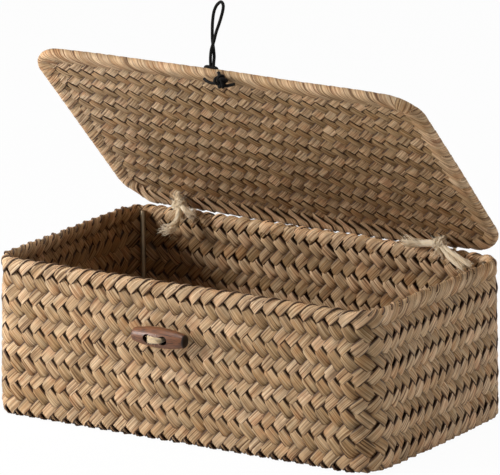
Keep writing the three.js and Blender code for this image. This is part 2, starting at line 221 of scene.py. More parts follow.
class ColourSettings(bpy.types.PropertyGroup):
    """Colours of the materials."""

    grass_dark: bpy.props.FloatVectorProperty(
        name="Seagrass, dark streaks", description="Streaks along a strand",
        subtype="COLOR", default=linear("5e3a1c"))
    grass_mid: bpy.props.FloatVectorProperty(
        name="Seagrass", description="Most of a strand", subtype="COLOR", default=linear("b08a5e"))
    grass_pale: bpy.props.FloatVectorProperty(
        name="Seagrass, pale streaks", description="Bleached streaks",
        subtype="COLOR", default=linear("d2b288"))
    grass_red: bpy.props.FloatVectorProperty(
        name="Seagrass, stained", description="Weathered patches", subtype="COLOR", default=linear("985f31"))
    # Painted shade: the colour put where strands go under others and along their edges, for the dark gaps
    grass_shade: bpy.props.FloatVectorProperty(
        name="Seagrass, hidden", description="Where strands cross", subtype="COLOR", default=linear("341b0b"))
    wire: bpy.props.FloatVectorProperty(
        name="Frame wire", description="Lacquer of the frame", subtype="COLOR", default=linear("938066"))
    jute: bpy.props.FloatVectorProperty(
        name="Jute", description="Most of the fibres", subtype="COLOR", default=linear("ffeed0"))
    jute_dark: bpy.props.FloatVectorProperty(
        name="Jute, dark", description="Darker fibres", subtype="COLOR", default=linear("f0d2a4"))
    stitch: bpy.props.FloatVectorProperty(
        name="Stitch", description="Most of the toggle's stitch", subtype="COLOR", default=linear("dcc298"))
    stitch_dark: bpy.props.FloatVectorProperty(
        name="Stitch, dark", description="Its darker fibres", subtype="COLOR", default=linear("a88b60"))
    wood: bpy.props.FloatVectorProperty(
        name="Toggle wood", description="Stained wood", subtype="COLOR", default=linear("6c4227"))
    wood_dark: bpy.props.FloatVectorProperty(
        name="Toggle's grain", description="Dark grain and cut ends",
        subtype="COLOR", default=linear("2a1810"))
    cord: bpy.props.FloatVectorProperty(
        name="Elastic cord", description="Braided cover", subtype="COLOR", default=linear("100f0e"))


class WovenBoxSettings(bpy.types.PropertyGroup):
    """Everything that a user would change."""

    weave: bpy.props.PointerProperty(type=WeaveSettings)
    colours: bpy.props.PointerProperty(type=ColourSettings)


def add_node(tree, kind, settings=None, inputs=None, stops=()):
    """Adds a node. An input is a value, a socket to link from, or a node, which stands for its first socket.
    stops are a colour ramp's places and colours, of which a new ramp already has two."""
    node = tree.nodes.new(kind)
    for name, value in (settings or {}).items():
        setattr(node, name, value)
    for name, value in (inputs or {}).items():
        if isinstance(value, bpy.types.Node):
            value = value.outputs[0]
        if isinstance(value, bpy.types.NodeSocket):
            tree.links.new(value, node.inputs[name])
        else:
            node.inputs[name].default_value = value
    for index, (place, colour) in enumerate(stops):
        elements = node.color_ramp.elements
        element = elements[index] if index < 2 else elements.new(place)
        element.position = place
        element.color = (*colour, 1)
    return node


def new_material(name):
    """A material without nodes, and its tree."""
    material = bpy.data.materials.new(name)
    material.use_nodes = True
    material.node_tree.nodes.clear()
    return material, material.node_tree


def seagrass(colours):
    """Seagrass, flattened and dried: matt straw with ribs and fibres along each strand, tones that change
    from float to float, painted brown shade where a strand goes under others and along its edges, and a
    painted highlight on the back rim's top."""
    name = "dried_seagrass_twill"
    if name in bpy.data.materials:
        return bpy.data.materials[name]
    material, tree = new_material(name)
    strand = add_node(tree, "ShaderNodeAttribute", {"attribute_name": "strand"}).outputs["Vector"]
    painted_shading = add_node(tree, "ShaderNodeAttribute", {"attribute_name": "painted_shading"}).outputs["Fac"]
    shade = add_node(tree, "ShaderNodeSeparateXYZ", inputs={0: strand}).outputs["Z"]
    # Ribs 0.9 mm apart that fade over 40 mm, fibres 0.6 mm apart, drawn coarser than real ones to show,
    # and tones about 12 mm long, near the length of one float
    patterns = []
    for stretch in ((1100, 25, 61), (1700, 35, 37), (60, 85, 83)):
        place = add_node(tree, "ShaderNodeVectorMath", {"operation": "MULTIPLY"}, {0: strand, 1: stretch})
        patterns.append(add_node(tree, "ShaderNodeTexNoise", inputs={
            "Vector": place, "Scale": 1, "Detail": 2}))
    ribs, fibres, tones = patterns
    streaks = add_node(tree, "ShaderNodeValToRGB", inputs={"Fac": ribs}, stops=(
        (0.3, colours.grass_dark), (0.45, colours.grass_mid), (0.66, colours.grass_pale)))
    stain = add_node(tree, "ShaderNodeMapRange", inputs={
        "Value": tones, "From Min": 0.5, "From Max": 0.7, "To Min": 0, "To Max": 0.42})
    stained = add_node(tree, "ShaderNodeMix", {"data_type": "RGBA"}, {
        "Factor": stain, 6: streaks, 7: (*colours.grass_red, 1)})
    value = add_node(tree, "ShaderNodeMapRange", inputs={"Value": shade, "To Min": 0.66, "To Max": 1.22})
    rich = add_node(tree, "ShaderNodeMapRange", inputs={"Value": shade, "To Min": 1.06, "To Max": 0.88})
    # Painted shading: the layer below none brightens a strand up to 1.45 times, the back rim's painted
    # highlight
    for source, low, high, dark, pale in (
            (fibres, 0.4, 0.54, 0.7, 1.08), (tones, 0.32, 0.6, 0.74, 1.08), (painted_shading, -1, 0, 1.45, 1)):
        level = add_node(tree, "ShaderNodeMapRange", inputs={
            "Value": source, "From Min": low, "From Max": high, "To Min": dark, "To Max": pale})
        value = add_node(tree, "ShaderNodeMath", {"operation": "MULTIPLY"}, {0: value, 1: level})
    toned = add_node(tree, "ShaderNodeHueSaturation", inputs={
        "Saturation": rich, "Value": value, "Color": stained.outputs[2]})
    # Painted shade: towards grass_shade where a strand goes under others and along its long edges
    hidden = add_node(tree, "ShaderNodeMapRange", inputs={
        "Value": painted_shading, "From Min": 0.1, "From Max": 0.95, "To Min": 0, "To Max": 0.94})
    colour = add_node(tree, "ShaderNodeMix", {"data_type": "RGBA"}, {
        "Factor": hidden, 6: toned, 7: (*colours.grass_shade, 1)})
    rough = add_node(tree, "ShaderNodeMapRange", inputs={
        "Value": ribs, "From Min": 0.3, "From Max": 0.7, "To Min": 0.75, "To Max": 0.52})
    height = add_node(tree, "ShaderNodeMath", {"operation": "ADD"}, {0: ribs, 1: fibres})
    relief = add_node(tree, "ShaderNodeBump", inputs={"Height": height, "Strength": 0.7, "Distance": 0.0004})
    surface = add_node(tree, "ShaderNodeBsdfPrincipled", inputs={
        "Base Color": colour.outputs[2], "Roughness": rough, "Normal": relief, "Specular IOR Level": 0.3})
    add_node(tree, "ShaderNodeOutputMaterial", inputs={"Surface": surface})
    return material


def lacquered_wire(colours):
    """Steel wire under thin olive-brown lacquer: satin, with faint rust-brown clouding."""
    material, tree = new_material("lacquered_steel_wire")
    place = add_node(tree, "ShaderNodeTexCoord").outputs["Object"]
    # Clouds 6 mm across
    clouds = add_node(tree, "ShaderNodeTexNoise", inputs={"Vector": place, "Scale": 160, "Detail": 4})
    dull = [channel * 0.6 for channel in colours.wire]
    colour = add_node(tree, "ShaderNodeValToRGB", inputs={"Fac": clouds}, stops=(
        (0.3, dull), (0.6, colours.wire)))
    rough = add_node(tree, "ShaderNodeMapRange", inputs={"Value": clouds, "To Min": 0.35, "To Max": 0.65})
    surface = add_node(tree, "ShaderNodeBsdfPrincipled", inputs={
        "Base Color": colour, "Metallic": 0.6, "Roughness": rough})
    add_node(tree, "ShaderNodeOutputMaterial", inputs={"Surface": surface})
    return material


def jute_twine(name, dark, pale):
    """Jute twine: pale bast fibres, some browner than others, with a soft sheen and no gloss, that let a
    little light through."""
    material, tree = new_material(name)
    strand = add_node(tree, "ShaderNodeAttribute", {"attribute_name": "strand"}).outputs["Vector"]
    # Slubs 1.1 mm wide and 8 mm long
    place = add_node(tree, "ShaderNodeVectorMath", {"operation": "MULTIPLY"}, {0: strand, 1: (900, 120, 5)})
    slubs = add_node(tree, "ShaderNodeTexNoise", inputs={"Vector": place, "Scale": 1, "Detail": 3})
    colour = add_node(tree, "ShaderNodeValToRGB", inputs={"Fac": slubs}, stops=((0.3, dark), (0.52, pale)))
    fibres = add_node(tree, "ShaderNodeBsdfPrincipled", inputs={
        "Base Color": colour, "Roughness": 0.85, "Specular IOR Level": 0.2, "Sheen Weight": 0.8,
        "Sheen Roughness": 0.5})
    through = add_node(tree, "ShaderNodeBsdfTranslucent", inputs={"Color": colour})
    surface = add_node(tree, "ShaderNodeMixShader", inputs={0: 0.05, 1: fibres, 2: through})
    add_node(tree, "ShaderNodeOutputMaterial", inputs={"Surface": surface})
    return material


def toggle_wood(colours):
    """Stained hardwood, turned and oiled: fine dark grain along the barrel and dark cut ends."""
    material, tree = new_material("stained_turned_hardwood")
    place = add_node(tree, "ShaderNodeTexCoord").outputs["Object"]
    centred = add_node(tree, "ShaderNodeMapping", inputs={"Vector": place, "Location": -TOGGLE * MM})
    # Grain lines and pores 0.8 mm apart that run 6 mm
    stretch = add_node(tree, "ShaderNodeVectorMath", {"operation": "MULTIPLY"}, {
        0: centred, 1: (160, 1200, 1200)})
    grain = add_node(tree, "ShaderNodeTexNoise", inputs={"Vector": stretch, "Scale": 1, "Detail": 4})
    warm = [channel * 1.5 for channel in colours.wood]
    barrel = add_node(tree, "ShaderNodeValToRGB", inputs={"Fac": grain}, stops=(
        (0.3, colours.wood_dark), (0.5, colours.wood), (0.75, warm)))
    along = add_node(tree, "ShaderNodeSeparateXYZ", inputs={0: centred}).outputs["X"]
    reach = add_node(tree, "ShaderNodeMath", {"operation": "ABSOLUTE"}, {0: along})
    half = TOGGLE_LENGTH / 2
    end = add_node(tree, "ShaderNodeMapRange", inputs={
        "Value": reach, "From Min": (half - 1) * MM, "From Max": (half - 0.4) * MM})
    colour = add_node(tree, "ShaderNodeMix", {"data_type": "RGBA"}, {
        "Factor": end, 6: barrel, 7: (*[channel * 0.4 for channel in colours.wood_dark], 1)})
    rough = add_node(tree, "ShaderNodeMapRange", inputs={"Value": grain, "To Min": 0.5, "To Max": 0.3})
    relief = add_node(tree, "ShaderNodeBump", inputs={"Height": grain, "Strength": 0.3, "Distance": 0.0002})
    surface = add_node(tree, "ShaderNodeBsdfPrincipled", inputs={
        "Base Color": colour.outputs[2], "Roughness": rough, "Normal": relief, "Specular IOR Level": 0.4})
    add_node(tree, "ShaderNodeOutputMaterial", inputs={"Surface": surface})
    return material


def bored_wood(colours):
    """Bare wood inside the drilled holes, painted near black as the shade in the bores: dull, with rings
    round the bore.
    """
    material, tree = new_material("bored_hardwood")
    place = add_node(tree, "ShaderNodeTexCoord").outputs["Object"]
    # Drill marks 0.4 mm apart
    rings = add_node(tree, "ShaderNodeTexWave", {"bands_direction": "Y"}, {
        "Vector": place, "Scale": 800, "Distortion": 2}).outputs["Fac"]
    # Painted shade: the bores are near black
    dull = [channel * 0.3 for channel in colours.wood_dark]
    colour = add_node(tree, "ShaderNodeValToRGB", inputs={"Fac": rings}, stops=(
        (0.2, dull), (0.9, [channel * 2 for channel in dull])))
    surface = add_node(tree, "ShaderNodeBsdfPrincipled", inputs={
        "Base Color": colour, "Roughness": 0.9, "Specular IOR Level": 0.1})
    add_node(tree, "ShaderNodeOutputMaterial", inputs={"Surface": surface})
    return material


def elastic_cover(colours):
    """Braided elastic: black yarns crossing on a slant round the cord, with a dull sheen."""
    material, tree = new_material("braided_elastic")
    strand = add_node(tree, "ShaderNodeAttribute", {"attribute_name": "strand"}).outputs["Vector"]
    across, along, out = add_node(tree, "ShaderNodeSeparateXYZ", inputs={0: strand}).outputs
    turn = add_node(tree, "ShaderNodeMath", {"operation": "ARCTAN2"}, {0: out, 1: across})
    # Yarns cross every 0.7 mm along the cord, four to a side
    lay = add_node(tree, "ShaderNodeMath", {"operation": "MULTIPLY"}, {0: along, 1: 2 * math.pi / 0.0014})
    yarns = []
    for lean in (4, -4):
        slant = add_node(tree, "ShaderNodeMath", {"operation": "MULTIPLY_ADD"}, {0: turn, 1: lean, 2: lay})
        yarns.append(add_node(tree, "ShaderNodeMath", {"operation": "SINE"}, {0: slant}))
    braid = add_node(tree, "ShaderNodeMath", {"operation": "MULTIPLY"}, {0: yarns[0], 1: yarns[1]})
    lighter = [channel * 2.2 for channel in colours.cord]
    share = add_node(tree, "ShaderNodeMapRange", inputs={"Value": braid, "From Min": -1, "From Max": 1})
    colour = add_node(tree, "ShaderNodeValToRGB", inputs={"Fac": share}, stops=(
        (0.35, colours.cord), (1, lighter)))
    relief = add_node(tree, "ShaderNodeBump", inputs={"Height": braid, "Strength": 0.5, "Distance": 0.00012})
    surface = add_node(tree, "ShaderNodeBsdfPrincipled", inputs={
        "Base Color": colour, "Roughness": 0.7, "Normal": relief, "Specular IOR Level": 0.08})
    add_node(tree, "ShaderNodeOutputMaterial", inputs={"Surface": surface})
    return material


class Outline:
    """A rounded rectangle, walked anticlockwise as seen from above from the start of its front side."""

    def __init__(self, length, depth, corner, inset):
        x, y = length / 2 - corner, depth / 2 - corner
        self.corner = corner
        self.centres = [Vector(centre) for centre in ((-x, -y), (x, -y), (x, y), (-x, y))]
        bend = (corner - inset) * math.pi / 2
        self.stretches = [2 * x, bend, 2 * y, bend] * 2
        self.round = sum(self.stretches)

    def at(self, along, inset):
        """The point that far round, at that distance inside the outline."""
        along %= self.round
        for index, stretch in enumerate(self.stretches):
            if along <= stretch:
                break
            along -= stretch
        side = index // 2
        ahead = Vector(((1, 0), (0, 1), (-1, 0), (0, -1))[side])
        out = Vector((ahead.y, -ahead.x))
        if index % 2 == 0:
            return self.centres[side] + ahead * along + out * (self.corner - inset)
        turn = along / stretch * math.pi / 2
        out = out * math.cos(turn) + ahead * math.sin(turn)
        return self.centres[(side + 1) % 4] + out * (self.corner - inset)


BASKET = Outline(BOX_LENGTH, BOX_DEPTH, BOX_CORNER, MIDDLE)
LID = Outline(LID_LENGTH, LID_DEPTH, LID_CORNER, MIDDLE)


def on_basket(along, height, out):
    """A place on the wall's weave, which bends in at its foot and folds inwards over the rim wire."""
    if height < BEND_Z:
        turn = min((BEND_Z - height) / BEND, math.pi / 2)
        past = max(0, BEND_Z - height - BEND * math.pi / 2)
        inset = MIDDLE - SWELL - BELLY + BEND - (BEND + out) * math.cos(turn) + past
        z = BEND_Z - (BEND + out) * math.sin(turn)
    elif height < ROLL_Z:
        swell = SWELL * smoothstep(BOX_HEIGHT - SWELL_STARTS, BOX_HEIGHT - SWELL_WHOLE, height)
        inset, z = MIDDLE - swell - BELLY * smoothstep(0.75, 0.2, height / BOX_HEIGHT) - out, height
    else:
        turn = min((height - ROLL_Z) / FOLD_TURN, math.pi)
        past = max(0, height - ROLL_Z - FOLD_TURN * math.pi)
        inset, z = MIDDLE - out * math.cos(turn), ROLL_Z + out * math.sin(turn) - past
    x, y = BASKET.at(along, inset)
    foot = smoothstep(0.6, 0.15, z / BOX_HEIGHT)
    if abs(x) > BOX_LENGTH / 2 - 8:
        # The ends belly out towards the foot
        x += math.copysign(END_BELLY * foot * max(0, 1 - (y / END_HALF) ** 2), x)
    if y > 0:
        # The back's floats stand out more on the inside, and its rim is drawn up a little between the ties
        y += BACK_RELIEF * min(out, 0) * smoothstep(60, 72, y) * smoothstep(ROLL_Z, ROLL_Z - 4, z)
        z += RIM_DRAWN * smoothstep(130, 90, abs(x)) * smoothstep(BOX_HEIGHT - 12, BOX_HEIGHT, z)
    return Vector((x, y, z)) * MM


def on_lid(x, reach, up):
    """A place on the lid: x, distance from the hinge line towards the lid's front, height when closed."""
    y = HINGE.y - reach * math.cos(LID_OPEN) + up * math.sin(LID_OPEN)
    z = HINGE.z + reach * math.sin(LID_OPEN) + up * math.cos(LID_OPEN)
    return Vector((x, y, z)) * MM


def on_border(along, travel, out):
    """A place on the lid's folded border, from under the lid round its edge and back over the top."""
    leg = LID_BORDER - MIDDLE
    turn = min(max((travel - leg) / FOLD_TURN, 0), math.pi)
    past = max(leg - travel, travel - leg - FOLD_TURN * math.pi, 0)
    # At the back the strands bulge out as far as the hinge line, where they meet the rim in every position
    x, y = LID.at(along, 0)
    lip = LIP - 0.9 * smoothstep(-45, -60, x) - 1.8 * smoothstep(75, 115, x)
    lip *= smoothstep(LID_DEPTH / 2 - 6, LID_DEPTH / 2, y)
    out += lip * math.exp(-((turn - LIP_TURN) / LIP_SPREAD) ** 2)
    # The underside is pressed flatter, where the closed lid lies on the rim
    out -= UNDERSIDE_PRESSED * smoothstep(0.9, 0.3, turn)
    x, y = LID.at(along, MIDDLE - out * math.sin(turn) + past)
    return on_sagging_lid(x + LID_SHIFT, LID_BACK + LID_DEPTH / 2 - y, LID_MIDDLE - out * math.cos(turn))


def on_sagging_lid(x, reach, up):
    """A place on the woven lid. Its back edge sags between its ends, its front edge at the corners, and its
    ends bow out a little."""
    sag = (1 - 0.35 * smoothstep(-45, -125, x) - 0.6 * smoothstep(65, 125, x)) * smoothstep(30, 0, reach)
    droop = 1.4 * smoothstep(5, 60, x) + 1.5 * smoothstep(90, 130, x) + smoothstep(-90, -130, x)
    droop = (0.5 + droop) * smoothstep(140, 165, reach)
    bow = (x / 140) ** 3 * smoothstep(172, 145, reach)
    bow *= 1.2 * smoothstep(20, 100, reach) - 0.8 if x > 0 else 1.3 * smoothstep(0, 12, reach)
    return on_lid(x + bow, reach - LID_SAG * sag - droop, up - LID_SAG * sag)


def twill(place, pitch):
    """How far over (1) or under (-1) a strand is, this far from the middle of a row where it is over."""
    wave = math.cos(math.pi * place / pitch)
    return wave * math.sqrt((1 + FLATNESS) / (wave * wave + FLATNESS))


def twist(place, pitch):
    """How far a strand leans its left edge out where it changes from over to under, and back again."""
    return TWIST + TWIST_SWING * math.sin(math.pi * place / pitch)


def smoothstep(start, end, value):
    share = min(max((value - start) / (end - start), 0), 1)
    return share * share * (3 - 2 * share)


def new_bmesh():
    """An empty bmesh with the layers that the materials read: the strand marks and the painted shading."""
    bm = bmesh.new()
    return bm, bm.verts.layers.float_vector.new("strand"), bm.verts.layers.float.new("painted_shading")


def lay_strand(
        bm, marks, chance, tones, length, width, place, section, uneven=1, shape=STRAND_SECTION,
        step_length=STRAND_STEP):
    """One flattened strand. place(along, side, up) gives its points, and section(along) its lift, half
    thickness, share of the width, tilt and whether it is over (1) or under (-1) the others there."""
    steps = max(6, round(length / step_length))
    sides = len(shape)
    grid = bmesh.ops.create_grid(bm, x_segments=sides, y_segments=steps, size=1)
    shade, lot, start = chance.uniform(*tones), chance.uniform(0, 500), chance.uniform(0, 4)
    width *= chance.uniform(0.9, 1.08)
    rings = {}
    for vert in grid["verts"]:
        step = round((vert.co.y + 1) / 2 * steps)
        if step not in rings:
            along = length * step / steps
            lift, half, share, tilt, over = section(along)
            wander, tilting, lifting, widening = (
                amount * noise.noise((along / span, lot, layer)) for amount, span, layer in UNEVEN)
            reach = width * share * (1 + widening) / 2
            rings[step] = along, lift + uneven * lifting, half, reach, tilt + uneven * tilting, wander, over
        along, lift, half, reach, tilt, wander, over = rings[step]
        side, out = shape[round((vert.co.x + 1) / 2 * sides) % sides]
        vert.co = place(along, side * reach + wander, lift + out * half + side * tilt)
        vert[marks[0]] = (side * reach * MM, along * MM + start, shade)
        # Painted shade: parts that go under other strands, and each strand's long edges, are marked for
        # darkening, in place of the shade in the gaps and along the edges between strands
        hidden = smoothstep(-0.5, 0.8, -over if out > 0 else over)
        vert[marks[1]] = max(hidden if out else 0, (0.3 + 0.7 * uneven) * smoothstep(0.75, 0.88, abs(side)))


def smooth_route(points, count):
    """Points along a smooth curve through the given ones."""
    points = [Vector(point) for point in points]
    ends = [2 * points[0] - points[1], *points, 2 * points[-1] - points[-2]]
    route = []
    for step in range(count + 1):
        place = step / count * (len(points) - 1)
        index = min(int(place), len(points) - 2)
        t = place - index
        a, b, c, d = ends[index:index + 4]
        route.append(0.5 * (2 * b + (c - a) * t + (2 * a - 5 * b + 4 * c - d) * t * t
                            + (3 * b - a - 3 * c + d) * t ** 3))
    return route


def frames_along(route):
    """Two steady sideways directions at each point of a route."""
    frames = []
    side = None
    for index in range(len(route)):
        ahead = (route[min(index + 1, len(route) - 1)] - route[max(index - 1, 0)]).normalized()
        if side is None:
            side = ahead.orthogonal().normalized()
        side = (side - ahead * side.dot(ahead)).normalized()
        frames.append((side, ahead.cross(side)))
    return frames


def lay_tube(bm, marks, route, radius, shade, sides, braided=False):
    """A round strand along a route in millimetres. radius(share) is its radius. On a braided one the layer
    holds the way round it, in place of the distance across and the shade."""
    steps = len(route) - 1
    grid = bmesh.ops.create_grid(bm, x_segments=sides, y_segments=steps, size=1)
    frames = frames_along(route)
    lengths = [0]
    for here, ahead in zip(route, route[1:]):
        lengths.append(lengths[-1] + (ahead - here).length)
    for vert in grid["verts"]:
        step = round((vert.co.y + 1) / 2 * steps)
        turn = (vert.co.x + 1) * math.pi
        across, out = math.cos(turn), math.sin(turn)
        side, up = frames[step]
        reach = radius(step / steps)
        vert.co = (route[step] + (side * across + up * out) * reach) * MM
        last = out if braided else shade
        vert[marks[0]] = (across if braided else across * reach * MM, lengths[step] * MM + shade, last)


def lay_twine(bm, marks, chance, route, thickness, fibres, fray=0):
    """A bundle of twisted bast fibres round a close core, along a route. fray opens its far end."""
    frames = frames_along(route)
    steps = len(route) - 1
    thinning = 0.4 * min(fray, 1)
    lay_tube(
        bm, marks, route, lambda share: thickness * (0.47 - thinning * smoothstep(0.3, 1, share)),
        chance.random(), 10)
    for _ in range(fibres):
        reach = thickness / 2 * math.sqrt(chance.random())
        start, lot, shade = chance.uniform(0, 2 * math.pi), chance.uniform(0, 500), chance.random()
        last = max(2, round(steps * (1 - 0.22 * fray * chance.random())))
        threads = []
        for step in range(last + 1):
            side, up = frames[step]
            share = step / steps
            turn = start + 2.2 * share * steps / 8
            spread = reach * (1 + fray * smoothstep(0.3, 1, share)) + 0.2 * noise.noise((step / 3, lot, 0))
            threads.append(route[step] + side * spread * math.cos(turn) + up * spread * math.sin(turn))
        size = chance.uniform(0.13, 0.23)
        lay_tube(bm, marks, threads, lambda share: size * (1 - 0.4 * fray * share), shade, 4)


def lay_wraps(bm, marks, chance, thickness, fibres, place):
    """Two crossed wraps of two turns each. place(turn, along, lean) gives their points; along goes from -1
    to 1."""
    steps = 13
    for lean in (-1, 1):
        wrap = [place(2 * math.pi * step / steps, step / steps - 1, lean) for step in range(2 * steps + 1)]
        lay_twine(bm, marks, chance, wrap, thickness, fibres)


def any_way(chance):
    return Vector([chance.gauss(0, 1) for _ in range(3)])


def stretched(way, size, share):
    return Vector([part * length * share for part, length in zip(way, size)])


def lay_tangle(bm, marks, chance, place, size, count):
    """Short curled fibres, tangled round a close lump. place(point) puts a point of the lump."""
    lump = bmesh.ops.create_icosphere(bm, subdivisions=3, radius=0.36)
    for vert in lump["verts"]:
        rough = 1 + 0.3 * noise.noise(vert.co * 9)
        vert[marks[0]] = vert.co * 0.01
        vert.co = place(stretched(vert.co, size, rough)) * MM
    for _ in range(count):
        points = []
        for _ in range(4):
            way = any_way(chance).normalized()
            points.append(place(stretched(way, size, chance.uniform(0.45, 1) / 2)))
        radius = chance.uniform(0.12, 0.24)
        lay_tube(bm, marks, smooth_route(points, 9), lambda share: radius, chance.random(), 4)


def lay_fuzz(bm, marks, chance, centre, size, count, length):
    """Loose hairs that stand out from a knot of twine."""
    for _ in range(count):
        out = any_way(chance).normalized()
        bend = any_way(chance) * 0.5
        start = centre + stretched(out, size, 0.4)
        reach = length * chance.uniform(0.4, 1)
        route = [start + out * reach * t + bend * reach * t * t for t in (0, 0.33, 0.67, 1)]
        lay_tube(bm, marks, route, lambda share: 0.1 - 0.05 * share, chance.random(), 3)


def add_piece(bm, name, material, body, slot, *nodes):
    """Closes a bmesh's seams and ends, and adds it as a piece that rides on a body and stands for nodes."""
    bmesh.ops.remove_doubles(bm, verts=bm.verts, dist=1e-6)
    bmesh.ops.holes_fill(bm, edges=[edge for edge in bm.edges if edge.is_boundary], sides=0)
    bmesh.ops.recalc_face_normals(bm, faces=bm.faces)
    for face in bm.faces:
        face.smooth = True
    mesh = bpy.data.meshes.new(name)
    bm.to_mesh(mesh)
    bm.free()
    mesh.materials.append(material)
    piece = bpy.data.objects.new(name, mesh)
    bpy.context.scene.collection.objects.link(piece)
    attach(piece, body)
    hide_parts(*nodes)
    return piece


def strand_sizes(weave):
    """A strand's width, half thickness and lift, in millimetres."""
    return weave.strand_width / MM, weave.strand_thickness / MM / 2, weave.strand_lift / MM


class WOVENBOX_OT_walls(bpy.types.Operator):
    """Weave the walls, and fold the right-leaning strands over the rim wire"""

    bl_idname = "wovenbox.walls"
    bl_label = "Walls and rim"

    def execute(self, context):
        weave = context.scene.woven_box.weave
        material = seagrass(context.scene.woven_box.colours)
        count = weave.strands_round
        pitch = BASKET.round / count
        width, half, lift = strand_sizes(weave)
        row = weave.top_row / MM
        foot = BEND_Z - BEND * math.pi / 2 - FOOT_UNDER
        chance = random.Random(4)
        left = sum(BASKET.stretches[:6])

        def pressed(along):
            """How flat the strands are pressed, that far round: the left end is woven closer."""
            along %= BASKET.round
            return smoothstep(left - 15, left, along) * smoothstep(BASKET.round, BASKET.round - 15, along)

        rising, *marks = new_bmesh()
        top = ROLL_Z + FOLD_TURN * math.pi + FOLD_DOWN
        for strand in range(count):
            start = strand * pitch + foot

            def place(along, side, up):
                return on_basket(start + (along - side) * ROOT_HALF, foot + (along + side) * ROOT_HALF, up)

            def section(along):
                height = foot + along * ROOT_HALF
                over = twill(height - row, pitch)
                folded = smoothstep(row - 6, row - 1, height)
                tucked = smoothstep(top - 4, top, height)
                level = lift * over * (1 - folded) + (FOLD_TURN - 1.1 * tucked) * folded
                close = pressed(start + along * ROOT_HALF)
                lean = twist(height - row, pitch) * (1 - close) * (1 - folded) - FOLD_LEAN * folded
                spread = 1 + 0.08 * close - 0.03 * over * (1 - folded) + 0.1 * folded
                return level, half, spread, lean, over + (1 - over) * folded

            lay_strand(rising, marks, chance, PALE_SIDE, (top - foot) / ROOT_HALF, width, place, section)
        for vert in rising.verts:
            # Painted highlight: the back rim's top is painted paler, standing in for the light on it,
            # which the painted shading layer holds as less than none
            lighter = smoothstep(ROLL_Z - 2, ROLL_Z + 1, vert.co.z / MM) * smoothstep(50, 70, vert.co.y / MM)
            vert[marks[1]] -= (1 - vert[marks[1]]) * lighter
        add_piece(rising, "strands_leaning_right", material, "basket", "seagrass", "woven_body", "rim_fold")

        falling, *marks = new_bmesh()
        top = ROLL_Z - 2.4
        for strand in range(count):
            start = strand * pitch - foot

            def place(along, side, up):
                return on_basket(start - (along + side) * ROOT_HALF, foot + (along - side) * ROOT_HALF, up)

            def section(along):
                height = foot + along * ROOT_HALF - row
                over = -twill(height, pitch)
                close = pressed(start - along * ROOT_HALF)
                lean = twist(height, pitch) * (1 - close)
                return lift * over, half, 1 + 0.08 * close - 0.03 * over, lean, over

            lay_strand(falling, marks, chance, DARK_SIDE, (top - foot) / ROOT_HALF, width, place, section)
        add_piece(falling, "strands_leaning_left", material, "basket", "seagrass", "woven_body")
        return {"FINISHED"}


def lay_panel(bm, marks, chance, weave, pitch, length, depth, corner, row, place_at):
    """A flat twill panel. place_at(x, y, out) gives its points, and right-leaning strands are out at row."""
    width, half, lift = strand_sizes(weave)

    def inside(x, y):
        beyond_x = max(abs(x) - length / 2 + corner, 0)
        beyond_y = max(abs(y) - depth / 2 + corner, 0)
        return math.hypot(beyond_x, beyond_y) <= corner

    reach = int((length + depth) / 2 / pitch) + 1
    # The right-leaning strands have their pale side out and are wider
    for lean, tones, rise in ((1, (0.65, 1), 1.1), (-1, (0, 0.25), 0.92)):
        for strand in range(-reach, reach + 1):
            offset = strand * pitch
            # Along the strand x and y both change by half of t, and the lean keeps x - lean * y at the offset
            spots = [t for t in range(-int(length + depth), int(length + depth))
                     if inside((t + offset) / 2, lean * (t - offset) / 2)]
            if len(spots) < 12:
                continue
            first = spots[0]

            def place(along, side, up):
                x = (first + offset) / 2 + (along - side) * ROOT_HALF
                y = lean * ((first - offset) / 2 + (along + side) * ROOT_HALF)
                return place_at(x, y, up)

            def section(along):
                y = lean * ((first - offset) / 2 + along * ROOT_HALF)
                over = lean * twill(y - row, pitch)
                return lift * over * rise, half, rise - 0.03 * over, twist(y - row, pitch), over

            lay_strand(bm, marks, chance, tones, (spots[-1] - first) * ROOT_HALF, width, place, section)


class WOVENBOX_OT_base(bpy.types.Operator):
    """Weave the flat base"""

    bl_idname = "wovenbox.base"
    bl_label = "Base"

    def execute(self, context):
        weave = context.scene.woven_box.weave
        bm, *marks = new_bmesh()
        inset = MIDDLE - SWELL - BELLY + BEND + 1
        lay_panel(
            bm, marks, random.Random(8), weave, BASKET.round / weave.strands_round,
            BOX_LENGTH - 2 * inset, BOX_DEPTH - 2 * inset, BOX_CORNER - inset, 0,
            lambda x, y, out: Vector((x, y, BASE_Z - out)) * MM)
        material = seagrass(context.scene.woven_box.colours)
        add_piece(bm, "base_weave", material, "basket", "seagrass", "woven_body")
        return {"FINISHED"}


